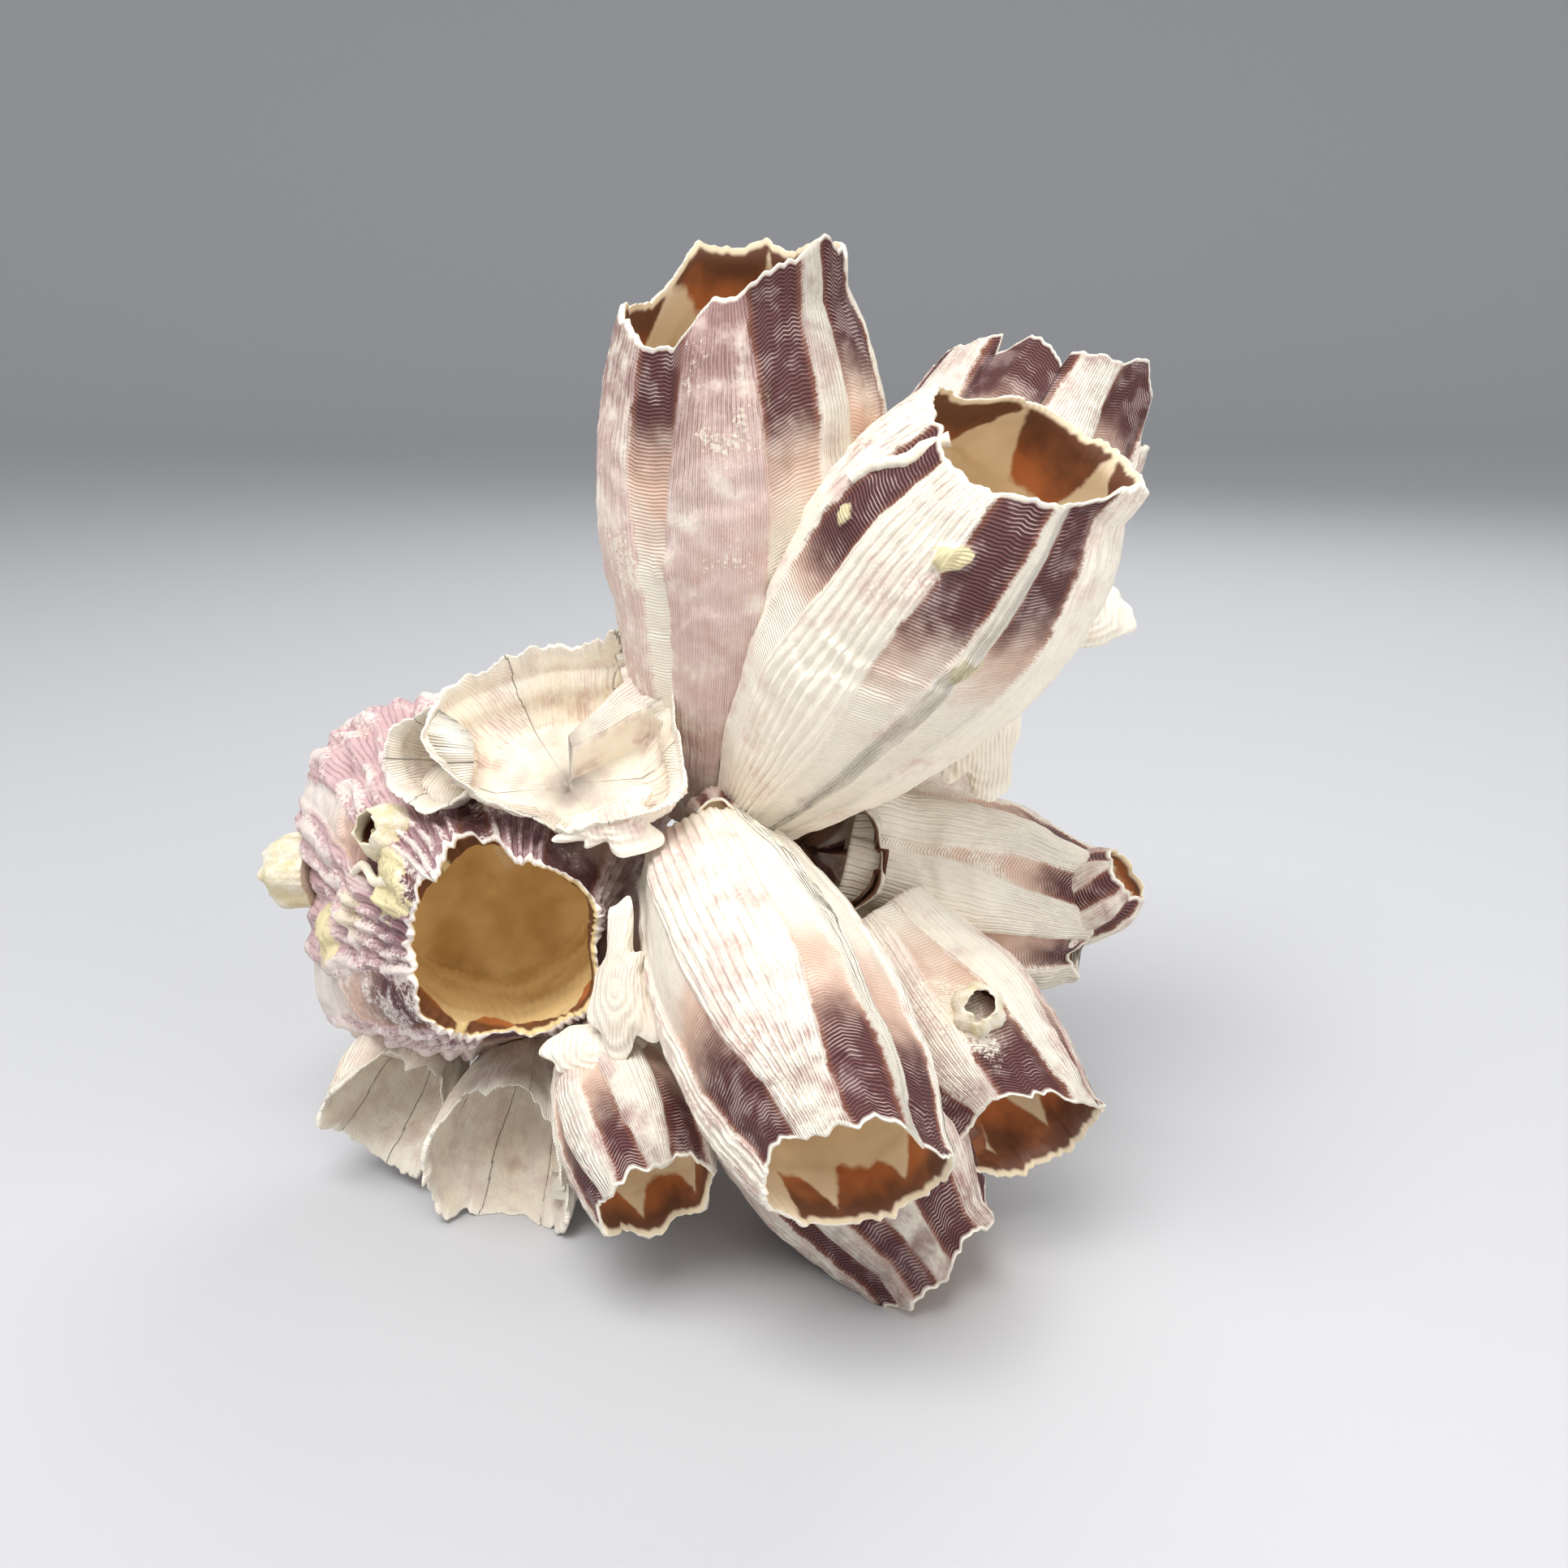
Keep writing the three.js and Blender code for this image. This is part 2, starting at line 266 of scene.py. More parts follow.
# One barnacle, as rings of points: out over its base, up the wall, over the rim, down inside and
# over the floor. The wall's relief is added to the radius: broad clouds, plates that stand out
# over the bands between, ribs that meet at the plate tips, growth steps, crusts and pits.
def growShell(node, **own):
    look = {**usual, **own}
    columns, rows = int(look["columns"] * full), int(look["rows"] * full)
    length = axesOf(look)[1]
    angle = np.arange(columns) * 2 * math.pi / columns
    start = startShares(look, angle)
    low = np.maximum(start, 0.0)
    floorShare = np.maximum(look["floor"], low + 0.04)

    under = max(6, rows // 12)
    inner = int(rows * 0.55)
    bottom = max(8, rows // 8)
    up = np.linspace(0, 1, rows) ** 0.95
    down = np.linspace(1, 0, inner)
    share = np.concatenate([
        np.repeat(low[None], under, 0),
        low + (1 - low) * up[:, None],
        np.ones((2, columns)),
        floorShare + (1 - floorShare) * down[:, None],
        np.repeat(floorShare[None], bottom, 0),
    ])
    inside = np.concatenate([np.zeros(under + rows), [0.35, 0.65], np.ones(inner + bottom)])
    inside = np.repeat(inside[:, None], columns, 1)
    spread = np.concatenate([
        np.linspace(0.1, 0.97, under), np.ones(rows + 2 + inner), np.linspace(0.95, 0.08, bottom)])
    level = rise(spread[-bottom:, None], 1.0, 0.55)  # the cup's floor levels off to its middle
    share[-bottom:] += (look["floor"] - share[-bottom:]) * level
    turned = np.repeat(angle[None], len(share), 0)

    rim = rimHeight(look, length, turned)
    chipSpot = np.stack([np.sin(turned), np.cos(turned), 0 * turned], -1) * look["radii"][2]
    chip = clouds(chipSpot, 2.2, look["seed"]) + 0.8 * clouds(chipSpot, 0.7, look["seed"] + 9)
    rim = rim + look["chips"] * chip * rise(share, 0.7, 1)
    height = share * rim
    height = height + np.where((inside > 0.2) & (inside < 0.8), 0.12, 0)
    heightShare = np.clip(height / length, 0, 1)
    radius = wallRadius(look, heightShare) * planStretch(look, turned)
    fromRim = (1 - share) * rim

    plain = place(look, radius, turned, height, share)
    across, edge, pink, lines, reach = plateField(look, turned, share, radius)
    broad = clouds(plain, 11, look["seed"]) + 0.5 * clouds(plain, 4.5, look["seed"] + 3)
    grain = clouds(plain, 1.1, look["seed"] + 5) + 0.5 * clouds(plain, 0.5, look["seed"] + 7)
    stand = rise(edge, -0.5, 0.5) * (0.75 + 0.25 * (1 - np.clip(across, -1, 1) ** 2))
    ribCount, ribHeight = look["ribs"]
    waver = clouds(plain, 5, look["seed"] + 11) * look["waviness"]
    rib = np.cos(across * ribCount * math.pi + waver) * rise(edge, 0, 1.0)
    ledges = clouds(np.stack([fromRim, 0.15 * plain[..., 0], 0.15 * plain[..., 2]], -1), 1.6, 5)
    relief = (look["lump"] * broad + look["relief"] * (stand - 0.6) + ribHeight * rib
              + look["rough"] * grain + 0.12 * ledges)
    crust = np.zeros_like(relief)
    for stepAt, depth, stepAngle, stepSpread in look["steps"]:
        off = (np.degrees(turned) - stepAngle + 180) % 360 - 180
        here = rise(np.abs(off), stepSpread, stepSpread * 0.6)
        line = fromRim - stepAt - 1.1 * waver
        relief = relief - depth * here * rise(line, 0.2, -0.1) * rise(line, -9, 0)
    for bumpAngle, bumpAt, bumpSize, bumpHeight, crusted in look["bumps"]:
        off = (np.degrees(turned) - bumpAngle + 180) % 360 - 180
        far = np.hypot(np.radians(off) * radius, fromRim - bumpAt) / bumpSize + 0.25 * grain
        mound = rise(far, 1.1, 0.55)
        relief = relief + bumpHeight * mound * (1 + 0.5 * grain)
        crust = np.maximum(crust, crusted * mound)
    fade = rise(inside, 0.3, 0.0)
    relief = relief * (1 - 0.45 * rise(fromRim, 1.5, 0))

    wall = look["wall"] * (1 - 0.55 * share) * rise(fromRim, -2.6, 2.5)
    collar = look["sheath"] + 1.2 * clouds(chipSpot, 5, look["seed"] + 2)
    innerRelief = 0.35 * rise(fromRim, collar - 0.4, collar + 0.4) + 0.25 * broad * look["lump"]
    innerRelief = innerRelief - 0.25 * look["relief"] * stand * rise(fromRim, 7, 0)
    grooves, grooveDepth = look["grooves"]
    innerRelief = innerRelief + grooveDepth * np.cos(turned * grooves + waver) * rise(share, 1, 0.3)
    thin = rise(inside, 0.1, 0.9)
    within = radius + 0.5 * relief * rise(fromRim, 3, 0) - wall * thin + innerRelief
    within = np.minimum(within, radius + relief - 0.3 * thin)
    widest = look["radii"][2] * look["cavity"] + 0.1 * fromRim + innerRelief
    within = np.minimum(within, np.where(fromRim > 1.0, widest, within))
    radius = (fade * (radius + relief) + (1 - fade) * within) * spread[:, None]
    ringed = rise(spread, 1, 0.6)[:, None] * (1 - thin)
    height = height + ringed * 0.25 * np.cos(spread[:, None] * look["radii"][0] * 2.4)
    points = place(look, radius, turned, height, share)

    isOuter = (inside < 0.5)[:, 0]
    sunk = lambda older: older["wall"] * 0.5
    proud = lambda older: -0.4 - 1.3 * older["lump"]
    points[isOuter] = moveOut(points[isOuter], sunk)
    lowInside = ~isOuter & (share.mean(1) < 0.7)
    pushed = moveOut(points[lowInside], proud, min(7.0, length * 0.3))
    points[lowInside] = keepWithin(look, pushed, look["wall"] * 0.6)
    points[..., 2] = np.maximum(points[..., 2], 0.02 + 0.3 * (inside > 0.9))

    fields = dict(edge=edge, across=across, fromRim=fromRim, inside=inside, pink=pink,
                  lines=lines, reach=reach, crust=crust, share=share, relief=relief)
    piece = addSurface(node + "_look", points, fields)
    piece.data.materials.append(finishes[look["finish"]](node + "_finish", look))
    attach(piece, "root")
    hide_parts(node)
    grown[node] = look
    print(node, "grown,", len(piece.data.polygons), "faces")
    return piece


# A single plate: rings from the middle of its lower face out to the edge and back over the top,
# an oval whose outline wavers, bowed by a parabola and lined by growth along its length.
plateThickness = 1.8


def growPlate(node, **own):
    look = {**usual, "columns": 130, "rows": 36, "waver": 0.3, "bow": 1.0, **own}
    columns, rows = int(look["columns"] * full), int(look["rows"] * full)
    angle = np.repeat((np.arange(columns) * 2 * math.pi / columns)[None], 2 * rows, 0)
    out = np.sin(np.linspace(0.03, math.pi - 0.03, 2 * rows))[:, None] * np.ones(columns)
    top = np.repeat(np.linspace(-1, 1, 2 * rows)[:, None], columns, 1)
    rough = clouds(np.stack([np.cos(angle), np.sin(angle), 0 * angle], -1) * 3, 1.3, look["seed"])
    waver = 1 + look["waver"] * rough * out**3
    across, along = look["across"], look["along"]
    x = out * np.cos(angle) * across * waver
    y = out * np.sin(angle) * along * waver
    lens = plateThickness / 2 * (1 - out**2.5) + 0.12 * rise(out, 1.02, 0.9)
    spot = np.stack([x, y, 0 * x], -1)
    growth = 0.1 * np.cos(out * 26 + 2 * clouds(spot, 3, 4)) * (top > 0)
    z = np.sign(top) * lens + growth + look["bow"] * (0.5 - out**2) + 0.25 * clouds(spot, 3, 8)
    turn = np.array(Euler([math.radians(d) for d in look["turn"]]).to_matrix())
    points = np.stack([x, y, z], -1) @ turn.T + np.array(look["middle"], float)
    zero = np.zeros_like(x)
    fields = dict(edge=zero + 3, across=np.cos(angle) * out, fromRim=(1 - out) * along, inside=zero,
                  pink=zero + look.get("pinkness", 0.1), lines=zero + 0.3, reach=zero,
                  crust=zero, share=out, relief=growth)
    piece = addSurface(node + "_look", points, fields)
    piece.data.materials.append(finishes[look["finish"]](node + "_finish", look))
    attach(piece, "root")
    if look.get("inCad", True):
        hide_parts(node)
    print(node, "grown,", len(piece.data.polygons), "faces")
    return piece


# A worm's tube on a shell's wall: circles round a smoothed line through (angle, mm below the rim)
# spots. Each circle's first direction points away from the wall and the second across the tube.
def growTube(name, host, spots, thick, tip=1.0):
    look = grown[host]
    length = axesOf(look)[1]
    steps = np.linspace(0, 1, 60)
    knots = np.linspace(0, 1, len(spots))
    turns, belows = [np.interp(steps, knots, values) for values in zip(*spots)]
    angle = np.radians(turns)
    rim = rimHeight(look, length, angle)
    share = 1 - belows / rim
    radius = wallRadius(look, share) * planStretch(look, angle)
    line = place(look, radius + thick * 0.5, angle, share * rim, share)
    out = line - place(look, radius * 0, angle, share * rim, share)
    smooth = lambda values: np.apply_along_axis(
        lambda row: np.convolve(np.pad(row, 4, mode="edge"), np.ones(9) / 9, "valid"), 0, values)
    line = smooth(line)
    along = np.gradient(line, axis=0)
    along /= np.linalg.norm(along, axis=1, keepdims=True)
    out = out - along * (out * along).sum(1, keepdims=True)
    out /= np.linalg.norm(out, axis=1, keepdims=True)
    across = np.cross(along, out)
    turn = np.arange(18) * 2 * math.pi / 18
    girth = thick * (1 + 0.12 * clouds(line, 0.9, 6)) * (1 + (tip - 1) * steps)
    ring = np.cos(turn)[:, None] * out[:, None] + np.sin(turn)[:, None] * across[:, None]
    points = line[:, None] + girth[:, None, None] * ring
    points = points + 0.12 * thick * clouds(points, 0.7, 2)[..., None] * ring
    zero = np.zeros(points.shape[:2])
    fields = dict(edge=zero, across=zero, fromRim=zero + 5, inside=zero, pink=zero, lines=zero,
                  reach=zero, crust=zero, share=zero, relief=zero)
    piece = addSurface(name, points, fields)
    piece.data.materials.append(finishes["chalky"](name + "_finish", usual))
    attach(piece, "root")
    print(name, "grown,", len(piece.data.polygons), "faces")
    return piece


# A colour from its red, green and blue as they are seen, 0 to 255, made linear.
def seen(*levels):
    parts = [level / 255 for level in levels]
    return tuple(part / 12.92 if part < 0.04 else ((part + 0.055) / 1.055) ** 2.4
                 for part in parts) + (1.0,)


# An output socket of a material's nodes. Sums written with wires become Math nodes.
class Wire:
    def __init__(self, tree, socket=None):
        self.tree = tree
        self.socket = socket

    # Any node: its type, its settings, then its sockets' values or wires by name or number.
    def node(self, kind, settings={}, inputs={}, output=0):
        made = self.tree.nodes.new(kind)
        for name, value in settings.items():
            if name == "stops":
                for i, (position, colour) in enumerate(value):
                    stop = made.color_ramp.elements[i] if i < 2 else made.color_ramp.elements.new(1)
                    stop.position, stop.color = position, colour
            else:
                setattr(made, name, value)
        for name, value in inputs.items():
            if isinstance(value, Wire):
                self.tree.links.new(value.socket, made.inputs[name])
            else:
                made.inputs[name].default_value = value
        return Wire(self.tree, made.outputs[output] if len(made.outputs) else None)

    def maths(self, operation, *values):
        return self.node("ShaderNodeMath", {"operation": operation}, dict(enumerate(values)))

    def __add__(self, other):
        return self.maths("ADD", self, other)

    def __radd__(self, other):
        return self.maths("ADD", other, self)

    def __sub__(self, other):
        return self.maths("SUBTRACT", self, other)

    def __rsub__(self, other):
        return self.maths("SUBTRACT", other, self)

    def __mul__(self, other):
        return self.maths("MULTIPLY", self, other)

    def __rmul__(self, other):
        return self.maths("MULTIPLY", other, self)

    def __truediv__(self, other):
        return self.maths("DIVIDE", self, other)

    def sine(self):
        return self.maths("SINE", self)

    # An s-shaped rise from 0 at low to 1 at high.
    def rise(self, low, high):
        return self.node("ShaderNodeMapRange", {"interpolation_type": "SMOOTHSTEP"},
                         {0: self, 1: low, 2: high, 3: 0.0, 4: 1.0})

    # This wire is the share of the second colour that goes over the first.
    def blend(self, first, second):
        return self.node("ShaderNodeMix", {"data_type": "RGBA", "clamp_factor": True},
                         {0: self, 6: first, 7: second}, 2)

    def field(self, name):
        return self.node("ShaderNodeAttribute", {"attribute_name": name}, {}, "Fac")

    # Noise between 0 and 1, with patches of the given size in millimetres.
    def noise(self, spot, size, detail=3.0, roughness=0.55):
        return self.node("ShaderNodeTexNoise", {},
                         {"Vector": spot, "Scale": 1 / (size * mm), "Detail": detail,
                          "Roughness": roughness}, "Fac")


# A new material and a first wire in its empty node tree.
def newFinish(name):
    material = bpy.data.materials.new(name)
    material.use_nodes = True
    material.node_tree.nodes.clear()
    return material, Wire(material.node_tree)


# What every finish shares.
surface = dict(
    stripeSpacing=0.42,  # millimetres between the cross stripes of the sunken bands
    gloss=0.35,
    paintedGlowLevel=0.22,  # painted glow: emission that lightens the shaded insides, standing in for light through the thin walls
)


# The shader that every finish ends in. Its glow input is painted light: an emission colour that
# lightens the shaded insides, standing in for light through a thin wall.
def finishShell(start, colour, roughness, height, reach, paintedGlow=(0, 0, 0, 1)):
    bump = start.node("ShaderNodeBump", {}, {"Height": height, "Distance": reach, "Strength": 1.0})
    shader = start.node("ShaderNodeBsdfPrincipled", {},
                        {"Base Color": colour, "Roughness": roughness, "Normal": bump,
                         "Specular IOR Level": surface["gloss"], "Emission Color": paintedGlow,
                         "Emission Strength": surface["paintedGlowLevel"]})
    start.node("ShaderNodeOutputMaterial", {}, {"Surface": shader})


# Colours of the shells, as they are seen.
tints = dict(
    chalk=seen(248, 239, 222),
    pinkChalk=seen(226, 200, 190),
    mauve=seen(158, 118, 114),
    slate=seen(138, 112, 112),
    peach=seen(216, 172, 148),
    purple=seen(112, 70, 68),
    plum=seen(68, 34, 36),
    ochre=seen(148, 92, 66),
    cream=seen(240, 226, 200),
    honey=seen(212, 184, 134),
    umber=seen(92, 44, 24),
    rust=seen(172, 96, 48),
    straw=seen(224, 210, 166),
)


# A banded shell. Plates are chalk and pink, mottled, with fine mauve lines along them; the sunken
# bands between are plum near the rim and peach below, striped across and worn through in spots.
# Inside it is cream, with umber patches that widen from the bands toward the rim.
def bandedFinish(name, look):
    material, start = newFinish(name)
    t = {**tints, **look.get("tints", {})}
    spot = start.node("ShaderNodeTexCoord", {}, {}, "Object")
    edge, across, fromRim = start.field("edge"), start.field("across"), start.field("fromRim")
    inside, pink, lines = start.field("inside"), start.field("pink"), start.field("lines")
    reach, crust, relief = start.field("reach"), start.field("crust"), start.field("relief")
    cloud = start.noise(spot, 3.0)
    fine = start.noise(spot, 0.45, 4.0, 0.65)
    broad = start.noise(spot, 9.0, 3.0)

    lineCount = look["ribs"][0] * math.pi * 2
    line = (across * lineCount + cloud * 9.0).sine() * 0.5 + 0.5
    thread = (across * lineCount * 2.3 + broad * 14.0).sine() * 0.5 + 0.5
    lined = (line * 0.6 + thread * 0.5).rise(0.35, 0.95) * lines * fromRim.rise(26.0, 2.0)
    lined = lined * (cloud + (fine - 0.5) * 0.5).rise(0.3, 0.62)
    blush = (pink + (broad - 0.5) * 2.2 + (cloud - 0.5) * 1.4).rise(0.15, 0.95)
    plate = blush.blend(t["chalk"], t["pinkChalk"])
    mottle = (broad * 0.6 + cloud * 0.4 + (fine - 0.5) * 0.25).rise(0.52, 0.66) * lines
    plate = (mottle * 0.5).blend(plate, t["peach"])
    veined = ((thread * 0.5 + cloud * 0.6).rise(0.62, 0.85) * pink.rise(0.2, 0.9) * lines)
    plate = (veined * 0.55).blend(plate, t["mauve"])
    slated = (pink * 1.1 + (cloud - 0.5) * 1.6).rise(0.45, 1.1) * fromRim.rise(15.0, 3.0) * 0.75
    plate = slated.blend(plate, t["mauve"])
    plate = (lined * 0.85).blend(plate, t["purple"])

    turnsPerMm = 2 * math.pi / surface["stripeSpacing"]
    stripe = (fromRim * turnsPerMm + cloud * 3.5).sine() * 0.5 + 0.5
    patch = fromRim + (broad - 0.5) * 9.0 + (cloud - 0.5) * 3.5 + (fine - 0.5) * 2.0
    depth = (reach - patch).rise(-6.0, 3.5) * reach.rise(0.0, 3.0)
    dark = stripe.rise(0.2, 0.85).blend(t["plum"], t["purple"])
    dark = ((broad + cloud).rise(1.0, 1.25) * 0.5).blend(dark, t["slate"])
    dark = (stripe.rise(0.7, 1.0) * cloud.rise(0.45, 0.62) * 0.6).blend(dark, t["pinkChalk"])
    pale = (stripe * 0.35 + broad.rise(0.45, 0.65) * 0.35).blend(t["peach"], t["chalk"])
    bordering = (edge + (cloud - 0.5) * 0.8).rise(-0.9, -0.1)
    dark = (bordering * 0.55).blend(dark, t["ochre"])
    band = depth.blend(pale, dark)
    faded = (fromRim + (broad - 0.5) * 14.0).rise(17.0, 29.0)
    band = faded.blend(band, t["chalk"])

    onPlate = (edge + (fine - 0.5) * 0.7 + (cloud - 0.5) * 1.3).rise(-0.3, 0.25)
    outer = onPlate.blend(band, plate)
    worn = (broad * 0.8 + cloud * 0.2 + (fine - 0.5) * 0.5 + relief * 0.12)
    worn = worn.rise(look["wear"], look["wear"] + 0.1)
    outer = (worn * 0.85).blend(outer, t["chalk"])
    crusted = (crust + (fine - 0.5) * 0.6).rise(0.25, 0.6)
    outer = crusted.blend(outer, t["straw"])
    outer = fromRim.rise(0.45, 0.05).blend(outer, t["chalk"])

    sheath = look["sheath"]
    deep = fromRim + (cloud - 0.5) * 3.0
    spreading = (1.0 - fromRim / sheath) * 3.2
    patches = (edge + (cloud - 0.5) * 1.6 - spreading).rise(0.35, -0.35)
    patches = patches * deep.rise(sheath, sheath - 1.2) * fromRim.rise(0.3, 0.9)
    umber = (deep / sheath + (broad - 0.5) * 1.4).rise(0.15, 0.85).blend(t["umber"], t["rust"])
    inner = (broad * 0.7 + fromRim / 60.0).blend(t["cream"], t["honey"])
    inner = (patches * 0.95).blend(inner, umber)
    colour = inside.rise(0.45, 0.75).blend(outer, inner)
    # Painted glow: the inner colour is given off as emission in patches over the inside, to lighten
    # the shaded hollows.
    paintedGlow = (inside.rise(0.6, 0.95) * broad.rise(0.2, 0.75)).blend((0, 0, 0, 1), inner)

    grainy = fine * 0.5 + cloud * 0.2
    scored = (stripe * (1.0 - onPlate) * 0.8 + line * onPlate * 0.8) * inside.rise(0.6, 0.3)
    height = scored + grainy * (1.0 - inside * 0.8)
    roughness = 0.62 + worn * 0.2 - inside * 0.2 + onPlate * 0.08
    finishShell(start, colour, roughness, height, 0.00012, paintedGlow)
    return material


# A worn, chalky shell: cream outside and in, grooved, pitted and stained straw and brown.
def chalkyFinish(name, look):
    material, start = newFinish(name)
    t = {**tints, **look.get("tints", {})}
    spot = start.node("ShaderNodeTexCoord", {}, {}, "Object")
    across, fromRim = start.field("across"), start.field("fromRim")
    inside, pink, crust = start.field("inside"), start.field("pink"), start.field("crust")
    cloud = start.noise(spot, 3.0)
    fine = start.noise(spot, 0.5, 4.0, 0.65)
    broad = start.noise(spot, 7.0)
    line = (across * (look["ribs"][0] * math.pi * 2) + cloud * 6.0).sine() * 0.5 + 0.5
    colour = broad.rise(0.35, 0.8).blend(t["chalk"], t["cream"])
    colour = (pink * cloud.rise(0.4, 0.7)).blend(colour, t["pinkChalk"])
    colour = (line.rise(0.6, 1.0) * cloud.rise(0.4, 0.65) * 0.3).blend(colour, t["mauve"])
    stained = (crust + (fine - 0.5) * 0.5 + (broad - 0.62) * 2.0).rise(0.2, 0.7)
    colour = (stained * 0.7).blend(colour, t["straw"])
    brown = (broad * 0.7 + cloud * 0.3).rise(0.54, 0.7) * fromRim.rise(2.0, 8.0) * inside
    colour = (brown * 0.3).blend(colour, t["ochre"])
    colour = fromRim.rise(1.4, 0.2).blend(colour, t["chalk"])
    pitted = (fine.rise(0.64, 0.72) * stained)
    colour = (pitted * 0.7).blend(colour, t["umber"])
    height = fine * 0.7 + line * 0.5 - pitted * 1.5
    finishShell(start, colour, 0.62 + fine * 0.2, height, 0.00015)
    return material


# Small crusty shells: straw and chalk, coarse.
def crustFinish(name, look):
    material, start = newFinish(name)
    spot = start.node("ShaderNodeTexCoord", {}, {}, "Object")
    inside, fromRim = start.field("inside"), start.field("fromRim")
    fine = start.noise(spot, 0.6, 4.0, 0.7)
    broad = start.noise(spot, 3.0)
    colour = (broad + fine * 0.4).rise(0.5, 0.95).blend(tints["chalk"], tints["straw"])
    colour = (fine.rise(0.6, 0.75) * 0.5).blend(colour, tints["pinkChalk"])
    colour = (inside.rise(0.6, 0.9) * fromRim.rise(1.0, 3.0)).blend(colour, tints["umber"])
    finishShell(start, colour, 0.75 + fine * 0.1, fine + broad * 0.5, 0.0003)
    return material


finishes = dict(banded=bandedFinish, chalky=chalkyFinish, crust=crustFinish)

# The shells, from the oldest to the youngest, because each is moulded on those before it.
growShell(
    "left_barnacle",
    base=(-32.5, 28, 38.5), mouth=(-22.8, -14, 41.2), radii=(26, 27, 11.6), wear=0.53,
    bellyAt=0.15, taper=1.25, wall=2.4, floor=0.08, peaks=0, square=0.07,
    rim=[
        (5, -3.1), (17, -4.6), (30, -3.0), (42, -0.8), (57, -0.7), (66, -1.1), (86, -2.1),
        (108, -0.9), (135, -0.5), (159, -2.6), (172, -2.4), (185, 1.5), (193, 2.4), (215, 1.0),
        (240, 2.5), (270, 2.0), (292, 3.0), (310, 2.5), (324, 2.3), (338, -0.6), (352, -1.0),
    ],
    ribs=(5, 0.5), waviness=3.4, relief=0.9, lump=1.2, rough=0.2, chips=0.9, sheath=9.0,
    grooves=(70, 0.14), cavity=0.99, columns=450, rows=100, seed=3,
    tints=dict(cream=seen(226, 202, 150), honey=seen(216, 186, 128), chalk=seen(236, 224, 214),
               pinkChalk=seen(206, 172, 172), mauve=seen(138, 104, 112)),
    steps=[(7.5, 0.6, 20, 70), (13, 0.7, 60, 90), (20, 0.6, 80, 60)],
    bumps=[
        (62, 4.5, 4.5, 1.6, 0.9), (50, 9.0, 3.0, 1.0, 0.7), (84, 13.0, 4.0, 0.9, 0.4),
        (30, 15.0, 3.5, 0.8, 0.3), (100, 24.0, 4.5, 1.0, 0.8), (340, 10.0, 3.0, 0.9, 0.5),
    ],
    plates=[
        (350, 20, 15, 0.8, 1.0, 10),
        (35, 22, 15, 1.0, 1.0, 11),
        (88, 27, 18, 1.0, 1.0, 12),
        (150, 26, 15, 0.8, 0.9, 9),
        (215, 28, 12, 0.6, 0.6, 7),
        (285, 26, 12, 0.6, 0.8, 9),
    ],
)
growShell(
    "back_upper_barnacle",
    base=(2, 16, 54), mouth=(1, 41.4, 82.8), radii=(8, 14, 11), slope=(2, 0),
    columns=280, rows=76, seed=4,
)
growShell(
    "right_barnacle",
    base=(17, 13, 44), mouth=(49.5, 14, 35.5), radii=(10, 12.5, 9),
    bellyAt=0.55, peaks=2, crumble=1.5, columns=330, rows=88, seed=5, wear=0.52, lump=0.9,
    plates=[
        (350, 25, 12, 0.05, 0.5, 4),
        (48, 22, 13, 0.1, 0.5, 6),
        (110, 26, 12, 0.2, 0.6, 7),
        (180, 24, 11, 0.3, 0.5, 8),
        (242, 27, 12, 0.4, 0.6, 9),
        (300, 24, 10, 0.1, 0.5, 5),
    ],
)
growShell(
    "middle_barnacle",
    base=(12, 24, 43), mouth=(14, 1, 48), radii=(8, 10.5, 9), crumble=1, seed=6,
    sheath=14.0, columns=260, rows=66,
    # Darker inside colours: painted shade in the deep hollow of this shell.
    tints=dict(cream=seen(150, 112, 88), honey=seen(84, 50, 36), rust=seen(96, 50, 30),
               umber=seen(52, 26, 18)),
)
growShell(
    "top_barnacle",
    base=(0.5, 8, 52), mouth=(5.1, -7.2, 117.6), radii=(5.5, 17, 11.8),
    bellyAt=0.67, bend=(2, 90), peaks=0, columns=450, rows=100, seed=7,
    rim=[
        (303, -4.0), (316, -5.7), (325, -5.5), (333, -4.8), (342, -1.7), (348, -0.1), (355, 0.1),
        (4, 1.2), (13, 2.5), (22, 4.0), (32, 4.4), (41, 5.8), (51, 6.7), (57, 6.2), (63, 4.9),
        (90, 3.6), (132, 3.5), (152, 1.6), (168, 2.6), (177, 1.2), (196, 0.9), (210, 2.1),
        (215, 0.8), (223, -3.7), (230, -5.1), (270, -4.2),
    ],
    steps=[(12, 0.25, 350, 40), (21, 0.35, 20, 50), (33, 0.35, 335, 60)],
    bumps=[(6, 11, 2.6, 0.5, 0.3), (330, 24, 2.2, 0.5, 0.3), (70, 20, 3.0, 0.6, 0.5)],
    plates=[
        (351, 27, 14, 0.9, 1.0, 17),
        (41, 14, 5, 0.4, 0.6, 13),
        (105, 24, 17, 0.2, 0.4, 8),
        (165, 26, 12, 0.4, 0.5, 10),
        (222, 24, 13, 0.4, 0.6, 12),
        (290, 27, 24, 0.7, 0.8, 9),
    ],
)
growShell(
    "upper_back_barnacle",
    base=(17, 17, 56), mouth=(45.5, 33, 102.5), radii=(7, 17, 15.3),
    bellyAt=0.7, peaks=0, columns=360, rows=94, seed=8,
    rim=[
        (271, -1.8), (298, -1.5), (314, 1.0), (317, -1.9), (323, 0.3), (328, 2.0), (343, 2.1),
        (349, 0.6), (350, 2.6), (3, 3.8), (9, 4.1), (20, 6.6), (29, 8.2), (44, 4.9), (52, -0.8),
        (80, 1.5), (120, -1.0), (180, 0.5), (230, -2.0),
    ],
)
